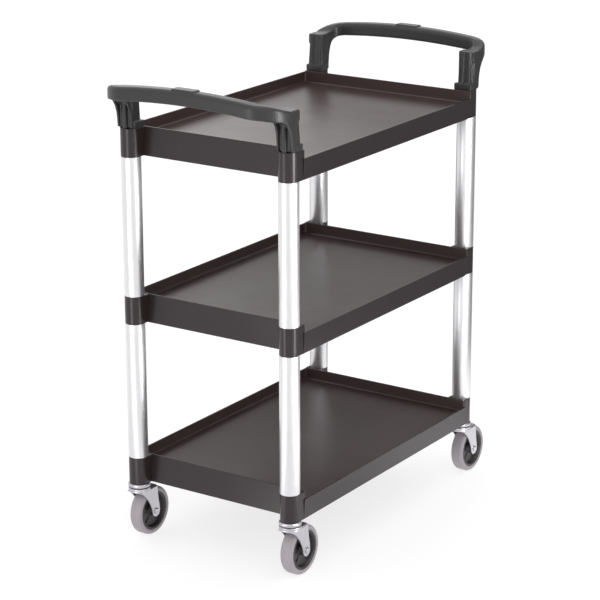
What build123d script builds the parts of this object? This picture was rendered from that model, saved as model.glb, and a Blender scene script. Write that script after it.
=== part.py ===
from build123d import *
import os

os.makedirs("parts", exist_ok=True)

# ---------------------------------------------------------------- dimensions (millimetres)
# frame: origin on the floor under the centre of the trolley, +X along the length,
# +Y across the width (the low shelf wall is on the -Y side), +Z up
POST_X = 334.0            # post axes, half spacing along the length
POST_Y = 185.0            # post axes, half spacing across the width
TUBE_R = 20.0             # post tube, outside radius
TUBE_WALL = 1.5
BOSS_R = 19.9             # round corner boss of a shelf
SPIGOT_R = TUBE_R - TUBE_WALL - 0.05
SPIGOT_BORE_R = 15.0
SPIGOT_LEN = 25.0

SHELF_Z = (121.8, 462.4, 803.0)   # lower edge of each shelf's walls
SHELF_H = 57.5            # end walls and bosses
LOW_H = 42.0              # long wall on the -Y side
BACK_H = 55.5             # long wall on the +Y side
END_X_FOOT = 319.3        # end wall, outer face at its lower edge
END_X_RIM = 313.1         # end wall, outer face at its rim
SIDE_Y_FOOT = 205.0       # long wall, outer face at its lower edge
SIDE_Y_RIM = 207.0        # long wall, outer face at its rim
WALL_T = 3.2
FLOOR_H = 32.0            # tray floor, upper face above the walls' lower edge
FLOOR_T = 3.5
COVE_R = 4.0              # cove between floor and walls
RIB_T = 2.4
RIB_H = 9.0
RIB_X = (-212.0, -106.0, 0.0, 106.0, 212.0)
RIB_Y = (-102.0, 0.0, 102.0)
BLOCK_X = 314.2           # inboard face of the corner block
BLOCK_Y = 164.4           # corner block's face towards the shelf's middle

HANDLE_X = 416.8          # outermost face of the grip
GRIP_W = 30.0             # grip thickness along X
HANDLE_Y = 204.4          # outer face of the arms
ARM_W = 32.0
GRIP_CORNER_R = 60.0
GRIP_TOP = 965.0
GRIP_BOTTOM = 937.0
GRIP_DROP = 14.0          # fall of the grip at 205 mm from the middle
PAD = (30.0, 52.0, 2.6)   # raised pad on the grip: across, along, proud
SKIRT_H = 13.5
LEG_R = 20.4
LEG_IN_X = 315.6          # inboard face of the leg
ARM_TOP = 939.5
PEG_R = 15.0
PEG_LEN = 27.0

WHEEL_R = 50.8
WHEEL_W = 28.0
TYRE_IN_R = 39.5
TYRE_ROUND = 7.0
TRAIL = 32.0              # axle behind the swivel axis
HUB_R = 10.0
HUB_W = 29.4
AXLE_R = 4.0
FORK_GAP = 15.0           # half gap between the fork legs
FORK_T = 2.6
NUT_AF = 13.0
NUT_H = 4.4
KINGPIN_R = 6.0
STEM_R = 5.6
STEM_LEN = 44.0
RACE_R = 22.6

CORNERS = {
    "front_left": (-1, -1),
    "front_right": (1, -1),
    "rear_left": (-1, 1),
    "rear_right": (1, 1),
}


# ---------------------------------------------------------------- shelves
# one moulded tray: floor, two high end walls, one high and one low long wall,
# ribs under the floor, and a corner block with a round boss outside each corner
for node, z0 in zip(("bottom_shelf", "middle_shelf", "top_shelf"), SHELF_Z):
    floor_z = z0 + FLOOR_H
    rim_z = z0 + SHELF_H

    with BuildPart() as shelf:
        # floor plate
        with BuildSketch(Plane.XY.offset(floor_z - FLOOR_T)):
            Rectangle(2 * (END_X_RIM - 1.0), 2 * (SIDE_Y_FOOT - 1.0))
        extrude(amount=FLOOR_T)

        # end walls, leaning in towards the rim, with a cove at the floor
        with BuildSketch(Plane.XZ):
            for s in (-1, 1):
                with BuildLine():
                    Polyline(
                        (s * END_X_FOOT, z0),
                        (s * END_X_RIM, rim_z),
                        (s * (END_X_RIM - WALL_T), rim_z),
                        (s * (END_X_RIM - WALL_T), floor_z + COVE_R),
                        (s * (END_X_RIM - WALL_T - 1.2), floor_z + 1.2),
                        (s * (END_X_RIM - WALL_T - COVE_R), floor_z),
                        (s * (END_X_RIM - WALL_T - COVE_R), floor_z - FLOOR_T),
                        (s * (END_X_FOOT - WALL_T - 1.5), floor_z - FLOOR_T),
                        (s * (END_X_FOOT - WALL_T), z0),
                        close=True,
                    )
                make_face()
        extrude(amount=SIDE_Y_FOOT - 0.5, both=True)

        # long walls
        with BuildSketch(Plane.YZ):
            for s, h in ((-1, LOW_H), (1, BACK_H)):
                with BuildLine():
                    Polyline(
                        (s * SIDE_Y_FOOT, z0),
                        (s * SIDE_Y_RIM, z0 + h),
                        (s * (SIDE_Y_RIM - WALL_T), z0 + h),
                        (s * (SIDE_Y_RIM - WALL_T), floor_z + COVE_R),
                        (s * (SIDE_Y_RIM - WALL_T - 1.2), floor_z + 1.2),
                        (s * (SIDE_Y_RIM - WALL_T - COVE_R), floor_z),
                        (s * (SIDE_Y_RIM - WALL_T - COVE_R), floor_z - FLOOR_T),
                        (s * (SIDE_Y_FOOT - WALL_T - 0.5), floor_z - FLOOR_T),
                        (s * (SIDE_Y_FOOT - WALL_T), z0),
                        close=True,
                    )
                make_face()
        extrude(amount=BLOCK_X + 0.6, both=True)

        # ribs under the floor
        with BuildSketch(Plane.XY.offset(floor_z - FLOOR_T - RIB_H)):
            with Locations(*[(x, 0) for x in RIB_X]):
                Rectangle(RIB_T, 2 * (SIDE_Y_FOOT - WALL_T))
            with Locations(*[(0, y) for y in RIB_Y]):
                Rectangle(2 * (END_X_FOOT - WALL_T - 1.0), RIB_T)
        extrude(amount=RIB_H)

        # corner blocks with round bosses
        for sx, sy in CORNERS.values():
            with BuildSketch(Plane.XY.offset(z0)):
                with Locations((sx * POST_X, sy * POST_Y)):
                    Circle(BOSS_R)
                with Locations((sx * (POST_X + BLOCK_X) / 2, sy * (SIDE_Y_FOOT + BLOCK_Y) / 2)):
                    Rectangle(POST_X - BLOCK_X, SIDE_Y_FOOT - BLOCK_Y)
            extrude(amount=SHELF_H)

        # spigots that the posts fit over, handle sockets, caster stem sockets
        for sx, sy in CORNERS.values():
            at = (sx * POST_X, sy * POST_Y)
            if node != "top_shelf":
                with BuildSketch(Plane.XY.offset(rim_z)):
                    with Locations(at):
                        Circle(SPIGOT_R)
                extrude(amount=SPIGOT_LEN)
                with BuildSketch(Plane.XY.offset(rim_z - 30)):
                    with Locations(at):
                        Circle(SPIGOT_BORE_R)
                extrude(amount=SPIGOT_LEN + 30, mode=Mode.SUBTRACT)
            else:
                with BuildSketch(Plane.XY.offset(rim_z - PEG_LEN - 1)):
                    with Locations(at):
                        Circle(PEG_R + 0.05)
                extrude(amount=PEG_LEN + 1, mode=Mode.SUBTRACT)
            if node != "bottom_shelf":
                with BuildSketch(Plane.XY.offset(z0 - SPIGOT_LEN)):
                    with Locations(at):
                        Circle(SPIGOT_R)
                extrude(amount=SPIGOT_LEN)
                with BuildSketch(Plane.XY.offset(z0 - SPIGOT_LEN)):
                    with Locations(at):
                        Circle(SPIGOT_BORE_R)
                extrude(amount=SPIGOT_LEN + 16, mode=Mode.SUBTRACT)
            else:
                with BuildSketch(Plane.XY.offset(z0)):
                    with Locations(at):
                        Circle(11.0)
                extrude(amount=STEM_LEN + 6)
                with BuildSketch(Plane.XY.offset(z0)):
                    with Locations(at):
                        Circle(STEM_R + 0.03)
                extrude(amount=STEM_LEN + 1, mode=Mode.SUBTRACT)

    shelf.part.label = node
    export_step(shelf.part, "parts/" + node + ".step")


# ---------------------------------------------------------------- posts
# eight plain tubes, each between two shelves
for tier, z_low, z_high in (
    ("lower", SHELF_Z[0] + SHELF_H, SHELF_Z[1]),
    ("upper", SHELF_Z[1] + SHELF_H, SHELF_Z[2]),
):
    for corner, (sx, sy) in CORNERS.items():
        with BuildPart() as post:
            with BuildSketch(Plane.XY.offset(z_low)):
                with Locations((sx * POST_X, sy * POST_Y)):
                    Circle(TUBE_R)
                    Circle(TUBE_R - TUBE_WALL, mode=Mode.SUBTRACT)
            extrude(amount=z_high - z_low)
            chamfer(post.edges().filter_by(GeomType.CIRCLE).group_by(SortBy.RADIUS)[-1], 0.5)
        post.part.label = tier + "_post_" + corner
        export_step(post.part, "parts/" + tier + "_post_" + corner + ".step")


# ---------------------------------------------------------------- handles
# a bow that stands outboard of each end, on two legs pegged into the bosses
LEG_Z = SHELF_Z[2] + SHELF_H
for side, s in (("left", -1), ("right", 1)):
    with BuildPart() as handle:
        # plan shape of grip and arms
        with BuildSketch(Plane.XY.offset(915)):
            with BuildLine():
                Polyline(
                    (s * LEG_IN_X, -HANDLE_Y), (s * HANDLE_X, -HANDLE_Y),
                    (s * HANDLE_X, HANDLE_Y), (s * LEG_IN_X, HANDLE_Y),
                    close=True,
                )
            make_face()
        extrude(amount=60)
        fillet(
            [e for e in handle.edges().filter_by(Axis.Z) if abs(abs(e.center().X) - HANDLE_X) < 0.01],
            GRIP_CORNER_R,
        )
        # the arched band between the grip's upper and lower face
        with BuildSketch(Plane.YZ):
            with BuildLine():
                up = ThreePointArc((-205, GRIP_TOP - GRIP_DROP), (0, GRIP_TOP), (205, GRIP_TOP - GRIP_DROP))
                dn = ThreePointArc((205, GRIP_BOTTOM - GRIP_DROP), (0, GRIP_BOTTOM), (-205, GRIP_BOTTOM - GRIP_DROP))
                Line(up @ 1, dn @ 0)
                Line(dn @ 1, up @ 0)
            make_face()
        extrude(amount=500, both=True, mode=Mode.INTERSECT)
        # hand gap
        inner_x = HANDLE_X - GRIP_W
        inner_y = HANDLE_Y - ARM_W
        with BuildSketch(Plane.XY.offset(900)):
            with BuildLine():
                Polyline(
                    (s * (LEG_IN_X - 10), -inner_y), (s * inner_x, -inner_y),
                    (s * inner_x, inner_y), (s * (LEG_IN_X - 10), inner_y),
                    close=True,
                )
            gap = make_face()
            fillet([v for v in gap.vertices() if abs(abs(v.X) - inner_x) < 0.01], 24)
        extrude(amount=90, mode=Mode.SUBTRACT)
        # the arms fall towards their inboard ends
        with BuildSketch(Plane.XZ):
            with BuildLine():
                Polyline(
                    (s * inner_x, 956), (s * 350, ARM_TOP + 0.5), (s * 330, ARM_TOP),
                    (s * (LEG_IN_X - 12), ARM_TOP), (s * (LEG_IN_X - 12), 990), (s * inner_x, 990),
                    close=True,
                )
            make_face()
        extrude(amount=230, both=True, mode=Mode.SUBTRACT)
        for sy in (-1, 1):
            # skirt on the corner block
            with BuildSketch(Plane.XY.offset(LEG_Z)):
                with Locations((s * POST_X, sy * POST_Y)):
                    Circle(LEG_R + 0.6)
                with Locations((s * (POST_X + BLOCK_X) / 2, sy * (SIDE_Y_FOOT + BLOCK_Y) / 2)):
                    Rectangle(POST_X - BLOCK_X, SIDE_Y_FOOT - BLOCK_Y)
            extrude(amount=SKIRT_H)
            # leg column
            with BuildSketch(Plane.XY.offset(LEG_Z)):
                with Locations((s * POST_X, sy * POST_Y)):
                    Circle(LEG_R - 0.3)
                with Locations((s * (POST_X + LEG_IN_X) / 2, sy * 187.0)):
                    Rectangle(POST_X - LEG_IN_X, 30.0)
            extrude(amount=ARM_TOP - 8 - LEG_Z)
            # flared web from the column out under the arm
            with BuildSketch(Plane.XZ.offset(-sy * 188.4)):
                with BuildLine():
                    Polyline(
                        (s * 334, 885), (s * 352.5, 885), (s * 354.5, 897), (s * 358, 908),
                        (s * 364, 917), (s * 373, 922.5), (s * 384, 925), (s * 384, 932),
                        (s * 334, 932),
                        close=True,
                    )
                make_face()
            extrude(amount=14.0, both=True)
            # peg in the boss
            with BuildSketch(Plane.XY.offset(LEG_Z - PEG_LEN)):
                with Locations((s * POST_X, sy * POST_Y)):
                    Circle(PEG_R)
            extrude(amount=PEG_LEN + 2)

        # raised pad in the middle of the grip
        with BuildSketch(Plane.XY.offset(GRIP_TOP - 6)):
            with Locations((s * (HANDLE_X - GRIP_W / 2), 0)):
                RectangleRounded(PAD[0] - 8, PAD[1], 3)
        extrude(amount=6 + PAD[2])

    handle.part.label = "handle_" + side
    export_step(handle.part, "parts/handle_" + side + ".step")


# ---------------------------------------------------------------- casters
# swivel casters with a stem in the bottom boss; the axle trails the stem towards +X
AXLE_Z = WHEEL_R
CROWN_Z = 103.6           # underside of the fork's crown
STEM_Z = SHELF_Z[0]
for corner, (sx, sy) in CORNERS.items():
    px, py = sx * POST_X, sy * POST_Y
    ax = px + TRAIL

    # stem with its flange and the kingpin that holds the fork
    with BuildPart() as stem:
        with BuildSketch(Plane.XY.offset(STEM_Z - 0.1)):
            with Locations((px, py)):
                Circle(STEM_R)
        extrude(amount=STEM_LEN)
        chamfer(stem.faces().sort_by(Axis.Z)[-1].edges(), 1.2)
        with BuildSketch(Plane.XY.offset(CROWN_Z - 0.4)):
            with Locations((px, py)):
                Circle(KINGPIN_R)
        extrude(amount=STEM_Z - CROWN_Z + 0.4)
        with BuildSketch(Plane.XY.offset(CROWN_Z - 3.2)):
            with Locations((px, py)):
                Circle(8.0)
        extrude(amount=2.9)
    stem.part.label = "caster_stem_" + corner
    export_step(stem.part, "parts/caster_stem_" + corner + ".step")

    # upper race, pressed on the stem against the boss
    with BuildPart() as race:
        with BuildSketch(Plane.XZ):
            with BuildLine():
                Polyline(
                    (KINGPIN_R, 114.4), (RACE_R - 2.6, 114.4), (RACE_R - 2.6, 113.4),
                    (RACE_R - 0.4, 113.4), (RACE_R, 114.2), (RACE_R, 118.6),
                    (RACE_R - 1.6, STEM_Z), (KINGPIN_R, STEM_Z),
                    close=True,
                )
            make_face()
        revolve(axis=Axis.Z)
    race_at = Pos(px, py, 0) * race.part
    race_at.label = "caster_race_" + corner
    export_step(race_at, "parts/caster_race_" + corner + ".step")

    # fork: crown with the lower race, and two legs swept back to the axle
    with BuildPart() as fork:
        with BuildSketch(Plane.XY.offset(CROWN_Z)):
            Circle(RACE_R - 1.2)
            with Locations((36.6 / 2 - 8, 0)):
                Rectangle(36.6 + 16, 2 * (FORK_GAP + FORK_T))
        extrude(amount=3.0)
        with BuildSketch(Plane.XY.offset(CROWN_Z + 3.0)):
            Circle(RACE_R - 0.2)
        extrude(amount=6.4)
        with BuildSketch(Plane.XY.offset(CROWN_Z - 1)):
            Circle(KINGPIN_R + 0.06)
        extrude(amount=12, mode=Mode.SUBTRACT)
        for f in (-1, 1):
            with BuildSketch(Plane.XZ.offset(-f * (FORK_GAP + FORK_T / 2))):
                with BuildLine():
                    Polyline(
                        (-16, CROWN_Z + 3.0), (36.6, CROWN_Z + 3.0), (37.4, 91), (39, 79), (43, 64),
                        (TRAIL + 12.2, AXLE_Z + 1), (TRAIL + 9.6, AXLE_Z - 7.4), (TRAIL + 4, AXLE_Z - 11.6),
                        (TRAIL - 2.5, AXLE_Z - 11.6), (TRAIL - 8.4, AXLE_Z - 7.4), (TRAIL - 11.6, AXLE_Z + 1),
                        (16, 64), (9.8, 76.6), (-3.2, 93.7), (-11.8, 101.7),
                        close=True,
                    )
                make_face()
            extrude(amount=FORK_T / 2, both=True)
        with BuildSketch(Plane.XZ):
            with Locations((TRAIL, AXLE_Z)):
                Circle(AXLE_R + 0.02)
        extrude(amount=30, both=True, mode=Mode.SUBTRACT)
    fork_at = Pos(px, py, 0) * fork.part
    fork_at.label = "caster_fork_" + corner
    export_step(fork_at, "parts/caster_fork_" + corner + ".step")

    # axle bolt and its nut
    with BuildPart() as bolt:
        with BuildSketch(Plane.XZ.offset(-(py + FORK_GAP + FORK_T + NUT_H))):
            with Locations((ax, AXLE_Z)):
                Circle(AXLE_R)
        extrude(amount=2 * (FORK_GAP + FORK_T) + NUT_H)
        with BuildSketch(Plane.XZ.offset(-(py - FORK_GAP - FORK_T))):
            with Locations((ax, AXLE_Z)):
                RegularPolygon(NUT_AF / 2, 6, major_radius=False)
        extrude(amount=NUT_H)
    bolt.part.label = "axle_bolt_" + corner
    export_step(bolt.part, "parts/axle_bolt_" + corner + ".step")

    with BuildPart() as nut:
        with BuildSketch(Plane.XZ.offset(-(py + FORK_GAP + FORK_T + NUT_H))):
            with Locations((ax, AXLE_Z)):
                RegularPolygon(NUT_AF / 2, 6, major_radius=False)
                Circle(AXLE_R, mode=Mode.SUBTRACT)
        extrude(amount=NUT_H)
    nut.part.label = "axle_nut_" + corner
    export_step(nut.part, "parts/axle_nut_" + corner + ".step")

    # wheel core: hub, web and rim
    with BuildPart() as core:
        with BuildSketch(Plane.XY):
            with BuildLine():
                Polyline(
                    (AXLE_R + 0.06, -HUB_W / 2), (HUB_R, -HUB_W / 2), (HUB_R + 1, -3.0),
                    (TYRE_IN_R - 4.5, -3.0), (TYRE_IN_R - 3.2, -12.0), (TYRE_IN_R, -12.0),
                    (TYRE_IN_R, 12.0), (TYRE_IN_R - 3.2, 12.0), (TYRE_IN_R - 4.5, 3.0),
                    (HUB_R + 1, 3.0), (HUB_R, HUB_W / 2), (AXLE_R + 0.06, HUB_W / 2),
                    close=True,
                )
            make_face()
        revolve(axis=Axis.Y)
    core_at = Pos(ax, py, AXLE_Z) * core.part
    core_at.label = "wheel_core_" + corner
    export_step(core_at, "parts/wheel_core_" + corner + ".step")

    # tyre on the core
    with BuildPart() as tyre:
        with BuildSketch(Plane.XY) as tread:
            with BuildLine():
                Polyline(
                    (TYRE_IN_R, -WHEEL_W / 2), (WHEEL_R, -WHEEL_W / 2),
                    (WHEEL_R, WHEEL_W / 2), (TYRE_IN_R, WHEEL_W / 2),
                    close=True,
                )
            make_face()
            fillet(tread.vertices().group_by(Axis.X)[-1], TYRE_ROUND)
        revolve(axis=Axis.Y)
    tyre_at = Pos(ax, py, AXLE_Z) * tyre.part
    tyre_at.label = "tyre_" + corner
    export_step(tyre_at, "parts/tyre_" + corner + ".step")
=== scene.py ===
import math
import bpy
import bmesh
from mathutils import Matrix, Vector


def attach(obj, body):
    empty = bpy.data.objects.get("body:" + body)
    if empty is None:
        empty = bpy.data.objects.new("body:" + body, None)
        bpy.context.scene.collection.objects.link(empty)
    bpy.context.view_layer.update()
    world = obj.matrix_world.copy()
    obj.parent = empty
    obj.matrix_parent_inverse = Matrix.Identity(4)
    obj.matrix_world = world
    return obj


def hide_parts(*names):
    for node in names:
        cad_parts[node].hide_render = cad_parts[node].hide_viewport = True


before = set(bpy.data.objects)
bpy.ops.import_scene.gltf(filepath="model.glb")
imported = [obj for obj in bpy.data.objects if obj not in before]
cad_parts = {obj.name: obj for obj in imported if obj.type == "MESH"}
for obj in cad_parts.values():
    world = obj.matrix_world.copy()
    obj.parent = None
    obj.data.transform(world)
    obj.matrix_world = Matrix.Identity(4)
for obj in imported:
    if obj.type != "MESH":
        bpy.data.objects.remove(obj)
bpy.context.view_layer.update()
MM = 0.001

# ------------------------------------------------------------------ dimensions, mm, as in the CAD
POST_X, POST_Y = 334.0, 185.0
TUBE_R, TUBE_IN = 20.0, 18.5
BOSS_R = 19.9
SHELF_Z = {"bottom_shelf": 121.8, "middle_shelf": 462.4, "top_shelf": 803.0}
SHELF_H, LOW_H, BACK_H = 57.5, 42.0, 55.5
END_FOOT, END_RIM = 319.3, 313.1
SIDE_FOOT, SIDE_RIM = 205.0, 207.0
WALL_T = 3.2
FLOOR_H, FLOOR_T = 32.0, 3.5
COVE = 4.0
RIB_T, RIB_H = 2.4, 9.0
RIB_X = (-212.0, -106.0, 0.0, 106.0, 212.0)
RIB_Y = (-102.0, 0.0, 102.0)
BLOCK_X, BLOCK_Y = 314.2, 164.4
HX, HY = 416.8, 204.4
WHEEL_R, WHEEL_W, TYRE_IN = 50.8, 28.0, 39.5
TRAIL = 32.0
CROWN_Z = 103.6
CORNERS = {"front_left": (-1, -1), "front_right": (1, -1), "rear_left": (-1, 1), "rear_right": (1, 1)}


# ------------------------------------------------------------------ mesh helpers (all in mm)
def make(name, verts, faces, smooth=35.0):
    me = bpy.data.meshes.new(name)
    me.from_pydata([(x * MM, y * MM, z * MM) for x, y, z in verts], [], faces)
    ob = bpy.data.objects.new(name, me)
    bpy.context.scene.collection.objects.link(ob)
    tidy(ob, smooth)
    return ob


def tidy(ob, smooth=35.0, weld=1e-6, flat=False):
    bm = bmesh.new()
    bm.from_mesh(ob.data)
    bmesh.ops.remove_doubles(bm, verts=bm.verts, dist=weld)
    bmesh.ops.dissolve_degenerate(bm, edges=bm.edges, dist=weld)
    if flat:
        bmesh.ops.dissolve_limit(bm, angle_limit=math.radians(0.2), verts=bm.verts, edges=bm.edges)
    bmesh.ops.recalc_face_normals(bm, faces=bm.faces)
    lim = math.radians(smooth)
    for f in bm.faces:
        f.smooth = True
    for e in bm.edges:
        e.smooth = not (len(e.link_faces) != 2 or e.calc_face_angle(0.0) > lim)
    bm.to_mesh(ob.data)
    bm.free()
    ob.data.update()


def bake(ob):
    """Applies ob's modifiers."""
    dg = bpy.context.evaluated_depsgraph_get()
    me = bpy.data.meshes.new_from_object(ob.evaluated_get(dg))
    ob.modifiers.clear()
    old = ob.data
    ob.data = me
    bpy.data.meshes.remove(old)
    me.name = ob.name


def combine(base, others, op="UNION"):
    for o in others:
        m = base.modifiers.new("b", "BOOLEAN")
        m.operation, m.solver, m.object = op, "EXACT", o
    bake(base)
    for o in others:
        me = o.data
        bpy.data.objects.remove(o)
        bpy.data.meshes.remove(me)
    return base


def join(base, others):
    """One object from several closed shells."""
    bm = bmesh.new()
    for o in [base] + others:
        bm.from_mesh(o.data)
    bm.to_mesh(base.data)
    bm.free()
    for o in others:
        me = o.data
        bpy.data.objects.remove(o)
        bpy.data.meshes.remove(me)
    return base


def weighted(ob):
    m = ob.modifiers.new("wn", "WEIGHTED_NORMAL")
    m.keep_sharp = True
    m.weight = 80
    bake(ob)


def arc(cx, cy, r, a0, a1, n):
    return [(cx + r * math.cos(math.radians(a0 + (a1 - a0) * i / n)),
             cy + r * math.sin(math.radians(a0 + (a1 - a0) * i / n))) for i in range(n + 1)]


def rounded(pts, radii, n=4):
    """A polygon with its corners rounded. radii is one number or one per corner."""
    if not isinstance(radii, (list, tuple)):
        radii = [radii] * len(pts)
    out = []
    k = len(pts)
    for i in range(k):
        p = Vector(pts[i])
        a = (Vector(pts[i - 1]) - p)
        b = (Vector(pts[(i + 1) % k]) - p)
        r = radii[i]
        la, lb = a.length, b.length
        a.normalize()
        b.normalize()
        ang = a.angle(b)
        if r <= 0 or abs(ang - math.pi) < 1e-3:
            out.append(tuple(p))
            continue
        d = r / math.tan(ang / 2)
        d = min(d, la * 0.49, lb * 0.49)
        r = d * math.tan(ang / 2)
        c = p + (a + b).normalized() * (r / math.sin(ang / 2))
        s, e = p + a * d - c, p + b * d - c
        tot = s.angle(e)
        cr = s.x * e.y - s.y * e.x
        sg = 1 if cr > 0 else -1
        steps = max(1, int(round(n * tot / (math.pi / 2))))
        for j in range(steps + 1):
            t = sg * tot * j / steps
            out.append((c.x + s.x * math.cos(t) - s.y * math.sin(t),
                        c.y + s.x * math.sin(t) + s.y * math.cos(t)))
    return out


def area(poly):
    return sum(poly[i - 1][0] * poly[i][1] - poly[i][0] * poly[i - 1][1] for i in range(len(poly))) / 2


def inset(poly, d):
    """poly (counter-clockwise) moved inwards by d."""
    if abs(d) < 1e-9:
        return list(poly)
    out = []
    k = len(poly)
    for i in range(k):
        p0, p, p1 = Vector(poly[i - 1]), Vector(poly[i]), Vector(poly[(i + 1) % k])
        e0, e1 = (p - p0), (p1 - p)
        if e0.length < 1e-9 or e1.length < 1e-9:
            out.append(tuple(p))
            continue
        n0 = Vector((-e0.y, e0.x)).normalized()
        n1 = Vector((-e1.y, e1.x)).normalized()
        m = n0 + n1
        if m.length < 1e-6:
            m = n0
        m.normalize()
        c = max(0.35, m.dot(n0))
        out.append(tuple(p + m * (d / c)))
    return out


def rings_solid(name, rings, smooth=35.0, place=None):
    """A closed solid through a list of rings with the same number of points."""
    verts, faces = [], []
    n = len(rings[0])
    for r in rings:
        verts += r
    for i in range(len(rings) - 1):
        for j in range(n):
            a, b = i * n + j, i * n + (j + 1) % n
            faces.append((a, b, b + n, a + n))
    faces.append(tuple(reversed(range(n))))
    faces.append(tuple(range((len(rings) - 1) * n, len(rings) * n)))
    if place:
        verts = [place(*v) for v in verts]
    return make(name, verts, faces, smooth)


def prism(name, poly, z0, z1, rt=0.0, rb=0.0, n=3, place=None, smooth=35.0):
    """poly raised from z0 to z1, with its top and bottom edges rounded."""
    if area(poly) < 0:
        poly = list(reversed(poly))
    rings = []
    if rb > 0:
        for k in range(n):
            a = math.pi / 2 * k / n
            rings.append([(x, y, z0 + rb * (1 - math.cos(a))) for x, y in inset(poly, rb * (1 - math.sin(a)))])
        rings.append([(x, y, z0 + rb) for x, y in poly])
    else:
        rings.append([(x, y, z0) for x, y in poly])
    if rt > 0:
        rings.append([(x, y, z1 - rt) for x, y in poly])
        for k in range(1, n + 1):
            a = math.pi / 2 * k / n
            rings.append([(x, y, z1 - rt * (1 - math.sin(a))) for x, y in inset(poly, rt * (1 - math.cos(a)))])
    else:
        rings.append([(x, y, z1) for x, y in poly])
    return rings_solid(name, rings, smooth, place)


def along_x(x, y, z):
    return (z, x, y)          # profile (Y, Z), raised along X


def along_y(x, y, z):
    return (x, z, y)          # profile (X, Z), raised along Y


def lathe(name, prof, seg=96, place=None, smooth=35.0):
    """A closed profile of (radius, height) points turned round the height axis."""
    verts, faces = [], []
    idx = []
    for r, h in prof:
        if r < 1e-6:
            idx.append([len(verts)] * seg)
            verts.append((0.0, 0.0, h))
        else:
            row = []
            for j in range(seg):
                a = 2 * math.pi * j / seg
                row.append(len(verts))
                verts.append((r * math.cos(a), r * math.sin(a), h))
            idx.append(row)
    k = len(prof)
    for i in range(k):
        a, b = idx[i], idx[(i + 1) % k]
        for j in range(seg):
            q = []
            for v in (a[j], a[(j + 1) % seg], b[(j + 1) % seg], b[j]):
                if v not in q:
                    q.append(v)
            if len(q) > 2:
                faces.append(tuple(q))
    if place:
        verts = [place(*v) for v in verts]
    return make(name, verts, faces, smooth)


def finish_piece(ob, body, nodes, mat):
    ob.data.materials.clear()
    ob.data.materials.append(mat)
    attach(ob, body)
    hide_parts(*nodes)
    return ob


# ------------------------------------------------------------------ materials
def nodes_of(name):
    m = bpy.data.materials.new(name)
    m.use_nodes = True
    nt = m.node_tree
    return m, nt, nt.nodes["Principled BSDF"]


def noise(nt, scale, detail=3.0, rough=0.5, stretch=None):
    co = nt.nodes.new("ShaderNodeTexCoord")
    n = nt.nodes.new("ShaderNodeTexNoise")
    n.inputs["Scale"].default_value = scale
    n.inputs["Detail"].default_value = detail
    n.inputs["Roughness"].default_value = rough
    src = co.outputs["Object"]
    if stretch:
        mp = nt.nodes.new("ShaderNodeMapping")
        mp.inputs["Scale"].default_value = stretch
        nt.links.new(src, mp.inputs["Vector"])
        src = mp.outputs["Vector"]
    nt.links.new(src, n.inputs["Vector"])
    return n


def ramp(nt, fac, stops):
    r = nt.nodes.new("ShaderNodeValToRGB")
    el = r.color_ramp.elements
    while len(el) < len(stops):
        el.new(0.5)
    for e, (p, c) in zip(el, stops):
        e.position = p
        e.color = (c[0], c[1], c[2], 1.0) if isinstance(c, (tuple, list)) else (c, c, c, 1.0)
    nt.links.new(fac, r.inputs["Fac"])
    return r


def bump(nt, height, strength, distance, normal=None):
    b = nt.nodes.new("ShaderNodeBump")
    b.inputs["Strength"].default_value = strength
    b.inputs["Distance"].default_value = distance
    nt.links.new(height, b.inputs["Height"])
    if normal:
        nt.links.new(normal, b.inputs["Normal"])
    return b


def plastic(name, dark, light, rough=(0.3, 0.42), grain=900.0, grain_bump=0.12, mottling=14.0, spec=0.5):
    """Moulded plastic: slow tone drift, fine mould grain, uneven gloss."""
    m, nt, p = nodes_of(name)
    slow = noise(nt, mottling, 4.0)
    col = ramp(nt, slow.outputs["Fac"], [(0.3, dark), (0.7, light)])
    nt.links.new(col.outputs["Color"], p.inputs["Base Color"])
    fine = noise(nt, grain, 2.0)
    gl = noise(nt, 9.0, 2.0)
    rg = ramp(nt, gl.outputs["Fac"], [(0.3, rough[0]), (0.7, rough[1])])
    nt.links.new(rg.outputs["Color"], p.inputs["Roughness"])
    b = bump(nt, fine.outputs["Fac"], grain_bump, 0.00003)
    nt.links.new(b.outputs["Normal"], p.inputs["Normal"])
    p.inputs["Specular IOR Level"].default_value = spec
    return m


def metal(name, tint, rough=(0.25, 0.4), lines=(1.0, 1.0, 0.01), line_scale=600.0, strength=0.08):
    """Drawn or plated metal: fine lines along one axis, uneven gloss."""
    m, nt, p = nodes_of(name)
    p.inputs["Metallic"].default_value = 1.0
    ln = noise(nt, line_scale, 2.0, 0.5, lines)
    cl = noise(nt, 18.0, 3.0)
    col = ramp(nt, cl.outputs["Fac"], [(0.3, tuple(c * 0.96 for c in tint)), (0.7, tint)])
    nt.links.new(col.outputs["Color"], p.inputs["Base Color"])
    rg = ramp(nt, ln.outputs["Fac"], [(0.35, rough[0]), (0.65, rough[1])])
    nt.links.new(rg.outputs["Color"], p.inputs["Roughness"])
    b = bump(nt, ln.outputs["Fac"], strength, 0.00003)
    nt.links.new(b.outputs["Normal"], p.inputs["Normal"])
    return m


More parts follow.
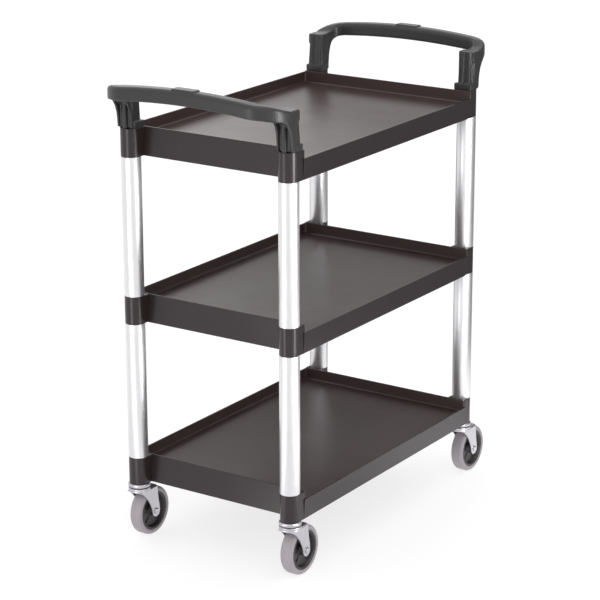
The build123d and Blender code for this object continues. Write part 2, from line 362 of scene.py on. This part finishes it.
def read_through(m):
    """Adds the shallow sink lines over the ribs and the round moulding marks to a shelf's floor."""
    nt = m.node_tree
    p = nt.nodes["Principled BSDF"]
    co = nt.nodes.new("ShaderNodeTexCoord")
    sep = nt.nodes.new("ShaderNodeSeparateXYZ")
    nt.links.new(co.outputs["Object"], sep.inputs["Vector"])

    def calc(op, a, b=None, c=None):
        n = nt.nodes.new("ShaderNodeMath")
        n.operation = op
        for i, v in enumerate((a, b, c)):
            if v is None:
                continue
            if isinstance(v, (int, float)):
                n.inputs[i].default_value = v
            else:
                nt.links.new(v, n.inputs[i])
        return n.outputs[0]

    def line(axis, pitch, half):
        d = calc("PINGPONG", axis, pitch / 2)               # 0 on a rib, pitch / 2 between ribs
        return calc("SMOOTH_MIN", calc("DIVIDE", d, half), 1.0, 0.3)

    x, y = sep.outputs["X"], sep.outputs["Y"]
    lx, ly = line(x, 0.106, 0.0035), line(y, 0.102, 0.0035)
    h = calc("MINIMUM", lx, ly)
    # round marks: an ejector ring in the middle of some cells
    cx = calc("PINGPONG", calc("ADD", x, 0.053), 0.106)
    cy = calc("PINGPONG", calc("ADD", y, 0.051), 0.102)
    rr = calc("SQRT", calc("ADD", calc("POWER", cx, 2.0), calc("POWER", cy, 2.0)))
    ring = calc("SMOOTH_MIN", calc("DIVIDE", calc("ABSOLUTE", calc("SUBTRACT", rr, 0.009)), 0.0016), 1.0, 0.3)
    inside = calc("MULTIPLY", calc("LESS_THAN", calc("ABSOLUTE", x), 0.303), calc("LESS_THAN", calc("ABSOLUTE", y), 0.197))
    h = calc("ADD", calc("MULTIPLY", h, 1.0), calc("MULTIPLY", ring, 0.45))
    h = calc("MULTIPLY", h, inside)
    old = p.inputs["Normal"].links[0].from_socket
    b = bump(nt, h, 0.8, 0.00009, old)
    nt.links.new(b.outputs["Normal"], p.inputs["Normal"])
    # the inside of the tray has a browner and paler base colour than the outside, and is a little less glossy
    tray = calc("MULTIPLY", calc("LESS_THAN", calc("ABSOLUTE", x), 0.3112), calc("LESS_THAN", calc("ABSOLUTE", y), 0.2048))
    mix = nt.nodes.new("ShaderNodeMix")
    mix.data_type = "RGBA"
    mix.blend_type = "MULTIPLY"
    nt.links.new(tray, mix.inputs[0])
    nt.links.new(p.inputs["Base Color"].links[0].from_socket, mix.inputs[6])
    inside_tone_noise = noise(nt, 14.0, 5.0, 0.6, (1.0, 0.25, 1.0))
    tone = ramp(nt, inside_tone_noise.outputs["Fac"], [(0.3, (2.02, 1.80, 1.64)), (0.7, (2.20, 1.95, 1.78))])
    # the plastic looks a little paler where it sank over a rib
    pale = calc("MULTIPLY_ADD", calc("MULTIPLY", calc("SUBTRACT", 1.0, calc("MINIMUM", lx, ly)), inside), 0.30, 1.0)
    pale = calc("MULTIPLY_ADD", calc("MULTIPLY", calc("SUBTRACT", 1.0, ring), inside), -0.22, pale)
    both = nt.nodes.new("ShaderNodeVectorMath")
    both.operation = "SCALE"
    nt.links.new(tone.outputs["Color"], both.inputs[0])
    nt.links.new(pale, both.inputs["Scale"])
    nt.links.new(both.outputs["Vector"], mix.inputs[7])
    nt.links.new(mix.outputs[2], p.inputs["Base Color"])
    r0 = p.inputs["Roughness"].links[0].from_socket
    nt.links.new(calc("ADD", r0, calc("MULTIPLY", tray, 0.10)), p.inputs["Roughness"])
    return m


M_SHELF = plastic("moulded_shelf_plastic", (0.0230, 0.0152, 0.0165), (0.0258, 0.0172, 0.0188), rough=(0.235, 0.275), grain_bump=0.10, mottling=5.0)
read_through(M_SHELF)
M_HANDLE = plastic("moulded_handle_plastic", (0.0270, 0.0268, 0.0266), (0.0305, 0.0302, 0.0298), rough=(0.33, 0.38), grain_bump=0.15, mottling=6.0, spec=0.45)
M_POST = metal("satin_aluminium", (0.90, 0.90, 0.915), rough=(0.33, 0.39))
M_ZINC = metal("zinc_plate", (0.60, 0.585, 0.625), rough=(0.34, 0.40), lines=(1.0, 1.0, 1.0), line_scale=160.0, strength=0.03)
M_BOLT = metal("zinc_fastener", (0.60, 0.60, 0.63), rough=(0.30, 0.38), lines=(1.0, 1.0, 1.0), line_scale=220.0, strength=0.05)
M_CORE = plastic("wheel_core_plastic", (0.020, 0.016, 0.018), (0.028, 0.023, 0.025), rough=(0.34, 0.42), mottling=20.0)
M_TYRE = plastic("grey_tyre_rubber", (0.335, 0.305, 0.325), (0.375, 0.340, 0.362), rough=(0.52, 0.66), grain=700.0, grain_bump=0.2, mottling=30.0, spec=0.35)


# ------------------------------------------------------------------ shelves
def wall_profile(foot, rim, h):
    """Section of a tray wall and its cove, out from the middle along +x, z from the wall's lower edge."""
    inner = rim - WALL_T
    p = rounded([(foot, 0.0), (rim, h), (inner, h)], [0.7, 0.9, 0.9], 3)[0:]
    # keep only the rounding at the foot and both sides of the rim
    body = []
    body += rounded([(foot - WALL_T, 0.0), (foot, 0.0), (rim, h), (inner, h), (inner, FLOOR_H + COVE)], [0.0, 0.9, 0.9, 0.9, 0.0], 3)
    cove = arc(inner - COVE, FLOOR_H + COVE, COVE, 0, -90, 5)
    body += cove[1:]
    body += [(inner - COVE - 1.0, FLOOR_H), (inner - COVE - 1.0, FLOOR_H - FLOOR_T), (foot - WALL_T - 1.2, FLOOR_H - FLOOR_T)]
    return body


def build_shelf(node):
    z0 = SHELF_Z[node]
    parts = []
    for s in (-1, 1):
        prof = [(s * x, z0 + z) for x, z in wall_profile(END_FOOT, END_RIM, SHELF_H)]
        parts.append(prism("w", prof, -(SIDE_FOOT - 0.6), SIDE_FOOT - 0.6, place=along_y))
    for s, h in ((-1, LOW_H), (1, BACK_H)):
        prof = [(s * y, z0 + z) for y, z in wall_profile(SIDE_FOOT, SIDE_RIM, h)]
        parts.append(prism("w", prof, -(BLOCK_X + 0.9), BLOCK_X + 0.9, place=along_x))
    fx, fy = END_RIM - WALL_T - COVE - 0.5, SIDE_RIM - WALL_T - COVE - 0.5
    parts.append(prism("f", [(-fx, -fy), (fx, -fy), (fx, fy), (-fx, fy)], z0 + FLOOR_H - FLOOR_T, z0 + FLOOR_H))
    # rounded inner corners, from the floor up to the lower of the two rims
    for sx, sy in CORNERS.values():
        cx, cy, r = sx * (END_RIM - WALL_T - 4.5), sy * (SIDE_RIM - WALL_T - 4.5), 4.5
        a0 = {(1, 1): 0, (-1, 1): 90, (-1, -1): 180, (1, -1): 270}[(sx, sy)]
        poly = arc(cx, cy, r, a0, a0 + 90, 6)
        poly = poly + [(cx + sx * (r + 1.5), cy + sy * (r + 1.5))]
        # the sides of this filler reach a little into the walls
        poly[0] = (poly[0][0] + (sx * 1.0 if abs(poly[0][1] - cy) < 1e-6 else 0), poly[0][1] + (sy * 1.0 if abs(poly[0][0] - cx) < 1e-6 else 0))
        poly[-2] = (poly[-2][0] + (sx * 1.0 if abs(poly[-2][1] - cy) < 1e-6 else 0), poly[-2][1] + (sy * 1.0 if abs(poly[-2][0] - cx) < 1e-6 else 0))
        top = (LOW_H if sy < 0 else BACK_H) - 0.6
        parts.append(prism("c", poly, z0 + FLOOR_H - 1.0, z0 + top))
    # corner blocks with round bosses
    for sx, sy in CORNERS.values():
        poly = [(BLOCK_X, SIDE_FOOT), (BLOCK_X, BLOCK_Y)]
        poly = rounded(
            [(BLOCK_X, BLOCK_Y)] + [(POST_X, BLOCK_Y + 0.7)], 0.0)
        ring = [(BLOCK_X, BLOCK_Y)] + [(POST_X + BOSS_R * math.cos(math.radians(a)), POST_Y + BOSS_R * math.sin(math.radians(a))) for a in range(-90, 91, 5)] + [(BLOCK_X, SIDE_FOOT)]
        ring = rounded(ring, [1.2] + [0.0] * 37 + [1.2], 3)
        ring = [(sx * x, sy * y) for x, y in ring]
        parts.append(prism("b", ring, z0, z0 + SHELF_H, rt=1.0, rb=1.0))
    # ribs under the floor
    for x in RIB_X:
        parts.append(prism("r", [(x - RIB_T / 2, -201.4), (x + RIB_T / 2, -201.4), (x + RIB_T / 2, 201.4), (x - RIB_T / 2, 201.4)], z0 + FLOOR_H - FLOOR_T - RIB_H, z0 + FLOOR_H - FLOOR_T + 1.0))
    for y in RIB_Y:
        parts.append(prism("r", [(-314.4, y - RIB_T / 2), (314.4, y - RIB_T / 2), (314.4, y + RIB_T / 2), (-314.4, y + RIB_T / 2)], z0 + FLOOR_H - FLOOR_T - RIB_H, z0 + FLOOR_H - FLOOR_T + 1.0))
    base = parts[0]
    base = combine(base, parts[1:])
    base.name = base.data.name = node + "_moulding"
    tidy(base, 30.0, flat=True)
    weighted(base)
    return base


for node in SHELF_Z:
    finish_piece(build_shelf(node), "frame", [node], M_SHELF)


# ------------------------------------------------------------------ posts
for tier, z_low, z_high in (("lower", 179.3, 462.4), ("upper", 519.9, 803.0)):
    for corner, (sx, sy) in CORNERS.items():
        prof = [(TUBE_IN, z_low + 0.4), (TUBE_IN + 0.4, z_low), (TUBE_R - 0.6, z_low), (TUBE_R - 0.18, z_low + 0.18), (TUBE_R, z_low + 0.6),
                (TUBE_R, z_high - 0.6), (TUBE_R - 0.18, z_high - 0.18), (TUBE_R - 0.6, z_high), (TUBE_IN + 0.4, z_high), (TUBE_IN, z_high - 0.4)]
        ob = lathe(tier + "_tube_" + corner, prof, 96, place=lambda x, y, z, sx=sx, sy=sy: (x + sx * POST_X, y + sy * POST_Y, z))
        finish_piece(ob, "frame", [tier + "_post_" + corner], M_POST)


# ------------------------------------------------------------------ handles
def lerp(t, pts):
    """Smooth interpolation through (t, value) pairs."""
    if t <= pts[0][0]:
        return pts[0][1]
    for (a, va), (b, vb) in zip(pts, pts[1:]):
        if t <= b:
            u = (t - a) / (b - a)
            return va + (vb - va) * u
    return pts[-1][1]


def bow_section(w, zt, zb, rto, rti, rbo, rbi):
    pts = rounded([(0, zb), (w, zb), (w, zt), (0, zt)], [rbo, rbi, rti, rto], 6)
    return pts


def build_handle(side, s):
    R_OUT, R_IN = 60.0, 16.0
    x_in = 324.0
    gx = HX - 30.6
    stations = []
    half = []
    for i in range(9):
        t = i / 8
        half.append(((x_in + (HX - R_OUT - x_in) * t, HY), (x_in + (gx - R_IN - x_in) * t, HY - 32.0)))
    for i in range(1, 17):
        a = math.radians(90 * i / 16)
        # the outer corner is a quarter circle
        half.append(((HX - R_OUT + R_OUT * math.sin(a), HY - R_OUT + R_OUT * math.cos(a)),
                     (gx - R_IN + R_IN * math.sin(a), HY - 32.0 - R_IN + R_IN * math.cos(a))))
    yo, yi = HY - R_OUT, HY - 32.0 - R_IN
    for i in range(1, 15):
        t = i / 14
        half.append(((HX, yo * (1 - t)), (gx, yi * (1 - t))))
    for (o, i_) in half:
        stations.append(((o[0], -o[1]), (i_[0], -i_[1])))
    for (o, i_) in reversed(half[:-1]):
        stations.append((o, i_))
    rings = []
    for (o, i_) in stations:
        mx, my = (o[0] + i_[0]) / 2, abs(o[1] + i_[1]) / 2
        arch = 3.33e-4 * my * my
        top = 965.0 - arch
        bot = 937.0 - arch * 0.93
        # towards the legs the band drops and thins
        k = max(0.0, min(1.0, (395.0 - mx) / 45.0))
        k = k * k * (3 - 2 * k)
        top = top * (1 - k) + 940.0 * k
        kb = max(0.0, min(1.0, (395.0 - mx) / 40.0))
        bot = bot * (1 - kb) + 917.0 * kb
        w = math.hypot(o[0] - i_[0], o[1] - i_[1])
        sec = bow_section(w, top, bot, 9.0 - 5.0 * k, 8.0 - 4.0 * k, 4.0, 4.0)
        dx, dy = (i_[0] - o[0]) / w, (i_[1] - o[1]) / w
        rings.append([(s * (o[0] + dx * a), o[1] + dy * a, z) for a, z in sec])
    n0 = len(rings[0])
    parts = [rings_solid("bow", rings)]
    for sy in (-1, 1):
        def put(poly):
            return [(s * x, sy * y) for x, y in poly]
        # skirt on the corner block
        ring = rounded([(BLOCK_X + 0.2, BLOCK_Y), (343.0, BLOCK_Y + 2.2), (343.0, HY + 0.6), (BLOCK_X + 0.2, HY + 0.6)], [1.5, 0.0, 0.0, 1.5], 3)
        parts.append(prism("sk", put(ring), 860.5, 873.8, rt=0.8))
        # leg: a block towards the tray, and a channel with a spine towards the outside
        core = [(316.0, 173.8), (317.4, 172.2), (323.0, 171.4), (325.5, 168.6), (346.0, 168.6), (346.0, 203.6), (325.5, 203.6), (323.0, 201.6), (317.0, 200.9), (316.0, 199.4), (316.0, 190.4), (318.2, 189.6), (318.2, 183.6), (316.0, 182.8)]
        rgs = []
        for z in (860.8, 900.0, 939.2, 940.2):
            t = (z - 860.8) / 79.4
            ring = [(x + (4.6 * t if x < 324.0 else 0.0), y - (2.6 * t if y > 195.0 and x < 335.0 else 0.0)) for x, y in core]
            if z > 940.0:
                cx, cy = 331.0, 186.0
                ring = [(cx + (x - cx) * 0.94, cy + (y - cy) * 0.96) for x, y in ring]
            rgs.append([(s * x, sy * y, z) for x, y in ring])
        parts.append(rings_solid("leg", rgs))
        spine = [(338.0, 180.6)] + [(349.2 + 5.0 * math.cos(math.radians(t)), 185.6 + 5.0 * math.sin(math.radians(t))) for t in range(-90, 91, 15)] + [(338.0, 190.6)]
        parts.append(rings_solid("spine", [[(s * x, sy * y, z) for x, y in spine] for z in (860.8, 930.0)]))
        flare = [(330.0, 862.0), (349.6, 862.0), (350.4, 878.0), (352.2, 891.0), (356.4, 904.0), (363.0, 914.5), (372.0, 921.5), (384.0, 925.6), (384.0, 934.0), (330.0, 934.0)]
        tight = [(330.0, 862.0), (350.6, 862.0), (351.4, 884.0), (353.2, 897.0), (357.4, 907.5), (364.0, 915.5), (373.0, 921.8), (384.0, 925.6), (384.0, 934.0), (330.0, 934.0)]
        for y0, y1, k in ((199.6, 204.6, 0.0), (168.8, 173.4, 0.6)):
            def sheer(x, z, y, k=k):
                t = min(1.0, max(0.0, (z - 900.0) / 26.0))
                return (s * x, sy * (y + k * 6.4 * t * t * (3 - 2 * t)), z)
            dense = []
            edge = tight if k else flare
            for p, q in zip(edge, edge[1:] + edge[:1]):
                m_ = max(1, int(max(abs(p[0] - q[0]), abs(p[1] - q[1])) / 5.0))
                dense += [(p[0] + (q[0] - p[0]) * i / m_, p[1] + (q[1] - p[1]) * i / m_) for i in range(m_)]
            plate = prism("plate", dense, y0, y1, place=sheer)
            plan = [(300.0, 100.0), (HX - 1.2, 100.0)] + [(HX - 1.2 - 58.8 + 58.8 * math.cos(math.radians(t)), HY + 0.2 - 58.8 + 58.8 * math.sin(math.radians(t))) for t in range(0, 91, 6)] + [(300.0, HY + 0.2)]
            trim = prism("trim", [(s * x, sy * y) for x, y in plan], 840.0, 990.0)
            m = plate.modifiers.new("b", "BOOLEAN")
            m.operation, m.solver, m.object = "INTERSECT", "EXACT", trim
            bake(plate)
            bpy.data.objects.remove(trim)
            parts.append(plate)
        # web closing the channel under the bow
        prof = [(338.0, 908.0), (350.0, 908.0), (356.0, 915.0), (364.0, 921.0), (376.0, 925.5), (376.0, 934.0), (338.0, 934.0)]
        parts.append(prism("web", [(s * x, z) for x, z in prof], sy * 188.0 - 10.0, sy * 188.0 + 10.0, place=along_y))
    # raised pad on top of the grip
    pad = rounded([(-11, -26), (11, -26), (11, 26), (-11, 26)], 2.5, 3)
    parts.append(prism("pad", [(s * (HX - 15.4) + x, y) for x, y in pad], 958.0, 967.6, rt=1.0))
    ob = join(parts[0], parts[1:])
    ob.name = ob.data.name = "handle_moulding_" + side
    m = ob.modifiers.new("r", "REMESH")
    m.mode = "VOXEL"
    m.voxel_size = 0.00125
    m.adaptivity = 0.0
    sm = ob.modifiers.new("s", "SMOOTH")
    sm.factor, sm.iterations = 0.5, 3
    bake(ob)
    tidy(ob, 70.0, weld=1e-7)
    return ob


for side, s in (("left", -1), ("right", 1)):
    finish_piece(build_handle(side, s), "frame", ["handle_" + side], M_HANDLE)


# ------------------------------------------------------------------ casters
def at(px, py, pz):
    return lambda x, y, z: (x + px, y + py, z + pz)


def wheel_place(px, py, pz):
    return lambda x, y, z: (x + px, z + py, y + pz)     # turned round Y


def fillet_prof(pts, radii, n=4):
    return rounded(pts, radii, n)


for corner, (sx, sy) in CORNERS.items():
    px, py = sx * POST_X, sy * POST_Y
    ax, az = px + TRAIL, WHEEL_R

    # upper race: a pressed cup under the boss
    prof = fillet_prof([(6.4, 113.5), (19.2, 113.5), (19.4, 114.7), (22.0, 114.9), (22.6, 116.4), (22.6, 119.4), (21.2, 121.7), (6.4, 121.7)],
                       [0, 0.3, 0.3, 0.7, 0.8, 1.4, 0.9, 0], 4)
    ob = lathe("race_cup_" + corner, prof, 96, place=at(px, py, 0))
    finish_piece(ob, "frame", ["caster_race_" + corner], M_ZINC)

    # stem and kingpin
    prof = [(0, 100.5), (6.5, 100.5), (7.7, 101.4), (8.0, 102.4), (7.6, 103.3), (6.0, 103.4), (6.0, 121.7), (5.55, 121.8), (5.55, 163.5), (4.6, 165.4), (0, 165.4)]
    ob = lathe("kingpin_" + corner, prof, 48, place=at(px, py, 0))
    finish_piece(ob, "frame", ["caster_stem_" + corner], M_ZINC)

    # fork: folded channel cut to the legs' outline, with the lower race pressed into its crown
    to, ti, g = 17.6, 15.0, 2.6
    outer = [(-to, 20.0)] + arc(-to + 5.0, CROWN_Z + 3.2 - 5.0, 5.0, 180, 90, 6) + arc(to - 5.0, CROWN_Z + 3.2 - 5.0, 5.0, 90, 0, 6) + [(to, 20.0)]
    inner = [(ti, 20.0)] + arc(ti - 2.4, CROWN_Z + 3.2 - 5.0, 2.4, 0, 90, 4) + arc(-ti + 2.4, CROWN_Z + 3.2 - 5.0, 2.4, 90, 180, 4) + [(-ti, 20.0)]
    channel = prism("ch", [(py + y, z) for y, z in outer + inner], px - 30, px + 60, place=along_x)
    side = [(-17.5, 108.0), (37.2, 108.0), (37.8, 97.0), (38.6, 86.0), (40.2, 74.0), (42.6, 63.0)]
    side += arc(TRAIL, az, 12.0, 12, -168, 14)
    side += [(18.6, 57.0), (14.6, 66.8), (9.4, 76.4), (3.0, 85.4), (-4.0, 93.6), (-11.0, 99.8), (-17.5, 103.0)]
    cut = prism("cut", [(px + x, z) for x, z in side], py - 40, py + 40, place=along_y)
    m = channel.modifiers.new("b", "BOOLEAN")
    m.operation, m.solver, m.object = "INTERSECT", "EXACT", cut
    bake(channel)
    bpy.data.objects.remove(cut)
    prof = fillet_prof([(6.4, 106.0), (6.4, 112.6), (18.4, 112.6), (18.8, 112.2), (21.8, 112.0), (22.4, 110.6), (21.9, 107.6), (22.5, 105.6), (22.0, 103.8), (18.0, 103.6), (17.0, 106.0)],
                       [0, 0, 0.3, 0.3, 0.9, 0.9, 0.8, 0.8, 0.8, 0.4, 0], 4)
    dish = lathe("dish", prof, 96, place=at(px, py, 0))
    # hole for the kingpin
    hole = lathe("hole", [(0, 100.0), (6.3, 100.0), (6.3, 109.0), (0, 109.0)], 48, place=at(px, py, 0))
    m = channel.modifiers.new("b", "BOOLEAN")
    m.operation, m.solver, m.object = "DIFFERENCE", "EXACT", hole
    bake(channel)
    bpy.data.objects.remove(hole)
    combine(channel, [dish])
    channel.name = channel.data.name = "fork_" + corner
    tidy(channel, 40.0, flat=True)
    bv = channel.modifiers.new("bev", "BEVEL")
    bv.width, bv.segments, bv.limit_method, bv.angle_limit = 0.0005, 2, "ANGLE", math.radians(50)
    bake(channel)
    tidy(channel, 50.0)
    weighted(channel)
    finish_piece(channel, "swivel_" + corner, ["caster_fork_" + corner], M_ZINC)

    # axle bolt: head towards -Y, nut towards +Y
    y0 = py - to
    hexa = [(ax + 6.2 * math.cos(math.radians(a)), az + 6.2 * math.sin(math.radians(a))) for a in range(0, 360, 60)]
    hexa = rounded(hexa, 0.8, 3)
    head = prism("head", hexa, y0 - 3.6, y0, rb=1.0, place=along_y)
    shank = lathe("shank", [(0, -to - 0.5), (4.0, -to - 0.5), (4.0, to + 3.6), (3.4, to + 4.4), (0, to + 4.4)], 32, place=wheel_place(ax, py, az))
    combine(head, [shank])
    head.name = head.data.name = "axle_" + corner
    tidy(head, 35.0)
    finish_piece(head, "swivel_" + corner, ["axle_bolt_" + corner], M_BOLT)
    nut = prism("nut_" + corner, hexa, py + to, py + to + 3.8, rt=1.0, place=along_y)
    bore = lathe("bore", [(0, to - 1), (4.05, to - 1), (4.05, to + 6), (0, to + 6)], 32, place=wheel_place(ax, py, az))
    m = nut.modifiers.new("b", "BOOLEAN")
    m.operation, m.solver, m.object = "DIFFERENCE", "EXACT", bore
    bake(nut)
    bpy.data.objects.remove(bore)
    tidy(nut, 35.0)
    finish_piece(nut, "swivel_" + corner, ["axle_nut_" + corner], M_BOLT)

    # wheel core: rim, dished web with ribs, hub
    half = [(4.3, 14.6), (8.6, 14.6), (9.8, 13.8), (11.2, 7.4), (13.4, 5.2), (29.5, 4.2), (32.4, 5.4), (34.4, 10.6), (35.6, 12.2), (36.4, 12.7), (39.0, 13.0), (TYRE_IN + 0.9, 12.6), (TYRE_IN + 1.2, 11.8)]
    prof = half + [(r, -h) for r, h in reversed(half)]
    core = lathe("core", prof, 96, place=wheel_place(ax, py, az))
    ribs = []
    for k in range(5):
        a = math.radians(72 * k + 20)
        c, s_ = math.cos(a), math.sin(a)
        poly = [(9.4, -2.6), (34.0, -3.4), (34.0, 3.4), (9.4, 2.6)]
        poly = [(ax + x * c - y * s_, az + x * s_ + y * c) for x, y in poly]
        ribs.append(prism("rib", poly, py - 6.8, py + 6.8, rt=1.2, rb=1.2, place=along_y))
    combine(core, ribs)
    core.name = core.data.name = "wheel_disc_" + corner
    tidy(core, 35.0, flat=False)
    finish_piece(core, "wheel_" + corner, ["wheel_core_" + corner], M_CORE)

    # tyre
    hw = WHEEL_W / 2
    prof = [(TYRE_IN + 1.0, -11.8), (TYRE_IN + 1.3, -12.8), (TYRE_IN + 2.4, -13.5)]
    prof += [(WHEEL_R - 7.0 + x, y) for x, y in [(7.0 * math.sin(math.radians(t)) , -hw + 7.0 - 7.0 * math.cos(math.radians(t))) for t in range(0, 91, 10)]]
    prof += [(r, -h) for r, h in reversed(prof)]
    tyre = lathe("tyre_ring_" + corner, prof, 128, place=wheel_place(ax, py, az))
    finish_piece(tyre, "wheel_" + corner, ["tyre_" + corner], M_TYRE)


# ------------------------------------------------------------------ floor, light, camera
def backdrop():
    m, nt, p = nodes_of("pale_floor")
    n = noise(nt, 3.0, 2.0)
    col = ramp(nt, n.outputs["Fac"], [(0.3, (0.30, 0.30, 0.30)), (0.7, (0.32, 0.32, 0.32))])
    nt.links.new(col.outputs["Color"], p.inputs["Base Color"])
    p.inputs["Roughness"].default_value = 0.9
    p.inputs["Specular IOR Level"].default_value = 0.1
    p.inputs["Emission Color"].default_value = (1.0, 1.0, 1.0, 1.0)
    p.inputs["Emission Strength"].default_value = 0.74
    r = 30000.0
    ob = make("floor_plane", [(-r, -r, 0), (r, -r, 0), (r, r, 0), (-r, r, 0)], [(0, 1, 2, 3)])
    ob.data.materials.append(m)
    return ob


backdrop()


def table(x, pts):
    for (a, va), (b, vb) in zip(pts, pts[1:]):
        if x <= b:
            u = (x - a) / (b - a)
            u = u * u * (3 - 2 * u)
            return va + (vb - va) * u
    return pts[-1][1]


def bell(x, c, w):
    d = (x - c + 180.0) % 360.0 - 180.0
    return math.exp(-(d / w) ** 2)


def glow(az, z, r):
    """Brightness of the studio's soft walls: azimuth in degrees, height and radius in metres."""
    # walls behind the object brighten with height, those before it are even, with a darker gap
    back = table(z, [(-1.0, 0.05), (0.3, 0.06), (0.9, 0.28), (1.35, 1.42), (9.0, 1.42)])
    back *= table(az, [(0.0, 0.88), (25.0, 0.88), (46.0, 1.50), (90.0, 1.0), (361.0, 1.0)])
    front = table(az, [(0.0, 0.45), (60.0, 0.85), (110.0, 0.95), (140.0, 0.78), (165.0, 0.80), (200.0, 0.76), (225.0, 0.80), (250.0, 0.95), (290.0, 0.90), (310.0, 0.24), (345.0, 0.22), (361.0, 0.5)])
    k = table((az - 34.0) % 360.0, [(0.0, 1.0), (16.0, 1.0), (38.0, 0.0), (322.0, 0.0), (344.0, 1.0), (361.0, 1.0)])
    v = back * k + front * (1 - k)
    # the floor close by is bright
    side = bell(az, 325.0, 30.0)
    near = 1 - min(1.0, max(0.0, (r - 0.35 - 0.25 * side) / 0.75))
    near = near * near * (3 - 2 * near)
    v = v * (1 - near) + (0.84 + 0.45 * side) * near
    v += (20.0 * bell(az, 260.0, 4.5) * table(z, [(-1.0, 0.35), (0.05, 0.35), (0.5, 1.0), (9.0, 1.0)]) + 4.0 * bell(az, 172.0, 5.0)) * (1 - near) * table(z, [(-1.0, 1.0), (1.3, 1.0), (1.7, 0.0), (9.0, 0.0)])
    return v


def studio_walls():
    """Soft reflecting walls and floor, seen only in reflections."""
    seg, verts, faces, val = 240, [], [], []
    rows = [(0.05, 0.002), (0.25, 0.002), (0.45, 0.002), (0.6, 0.002), (0.75, 0.002), (0.9, 0.002), (1.05, 0.002), (1.2, 0.002)]
    rows += [(1.2 + 0.05 * i, 0.01 + 0.1 * i) for i in range(1, 22)]
    for r, z in rows:
        for j in range(seg):
            a = 360.0 * j / seg
            verts.append((r * math.cos(math.radians(a)) / MM, r * math.sin(math.radians(a)) / MM, z / MM))
            val.append(glow(a, z, r))
    for i in range(len(rows) - 1):
        for j in range(seg):
            faces.append((i * seg + j, i * seg + (j + 1) % seg, (i + 1) * seg + (j + 1) % seg, (i + 1) * seg + j))
    me = bpy.data.meshes.new("studio_walls")
    me.from_pydata([(x * MM, y * MM, z * MM) for x, y, z in verts], [], faces)
    at_ = me.color_attributes.new("glow", "FLOAT_COLOR", "POINT")
    for i, v in enumerate(val):
        at_.data[i].color = (v, v, v, 1.0)
    ob = bpy.data.objects.new("studio_walls", me)
    bpy.context.scene.collection.objects.link(ob)
    m = bpy.data.materials.new("soft_wall_light")
    m.use_nodes = True
    nt = m.node_tree
    nt.nodes.remove(nt.nodes["Principled BSDF"])
    em = nt.nodes.new("ShaderNodeEmission")
    atn = nt.nodes.new("ShaderNodeAttribute")
    atn.attribute_name = "glow"
    nt.links.new(atn.outputs["Color"], em.inputs["Color"])
    nt.links.new(em.outputs["Emission"], nt.nodes["Material Output"].inputs["Surface"])
    me.materials.append(m)
    ob.visible_camera = False
    ob.visible_diffuse = False
    ob.visible_shadow = False
    ob.visible_transmission = False


studio_walls()

w = bpy.data.worlds.new("studio")
bpy.context.scene.world = w
w.use_nodes = True
w.node_tree.nodes["Background"].inputs["Color"].default_value = (1.0, 1.0, 1.0, 1.0)
w.node_tree.nodes["Background"].inputs["Strength"].default_value = 1.0


def softbox(name, loc, target, size, power, color=(1, 1, 1)):
    l = bpy.data.lights.new(name, "AREA")
    l.shape = "RECTANGLE"
    l.size, l.size_y = size
    l.energy = power
    l.color = color
    o = bpy.data.objects.new(name, l)
    bpy.context.scene.collection.objects.link(o)
    o.location = loc
    d = Vector(target) - Vector(loc)
    o.rotation_euler = d.to_track_quat("-Z", "Y").to_euler()
    return o


softbox("key", (-3.0, -1.2, 2.6), (0, 0, 0.4), (1.6, 1.6), 8.0)
softbox("top", (0.2, 0.2, 3.6), (0, 0, 0.4), (2.4, 2.0), 8.0)

F_PX, YAW, PITCH, ROLL = 2252.2, math.radians(33.678), math.radians(17.188), math.radians(-0.17)
CAM = Vector((-3707.6, -2457.6, 1829.5)) * MM
fwd = Vector((math.cos(YAW) * math.cos(PITCH), math.sin(YAW) * math.cos(PITCH), -math.sin(PITCH)))
rt = Vector((math.sin(YAW), -math.cos(YAW), 0.0))
up = rt.cross(fwd)
rt2 = rt * math.cos(ROLL) + up * math.sin(ROLL)
up2 = up * math.cos(ROLL) - rt * math.sin(ROLL)
cam_data = bpy.data.cameras.new("camera")
cam = bpy.data.objects.new("camera", cam_data)
bpy.context.scene.collection.objects.link(cam)
cam_data.sensor_width = 36.0
cam_data.lens = F_PX / 600.0 * 36.0
cam_data.clip_start, cam_data.clip_end = 0.1, 100.0
cam.matrix_world = Matrix((
    (rt2.x, up2.x, -fwd.x, CAM.x),
    (rt2.y, up2.y, -fwd.y, CAM.y),
    (rt2.z, up2.z, -fwd.z, CAM.z),
    (0, 0, 0, 1),
))
bpy.context.scene.camera = cam
bpy.context.scene.view_settings.view_transform = "Standard"
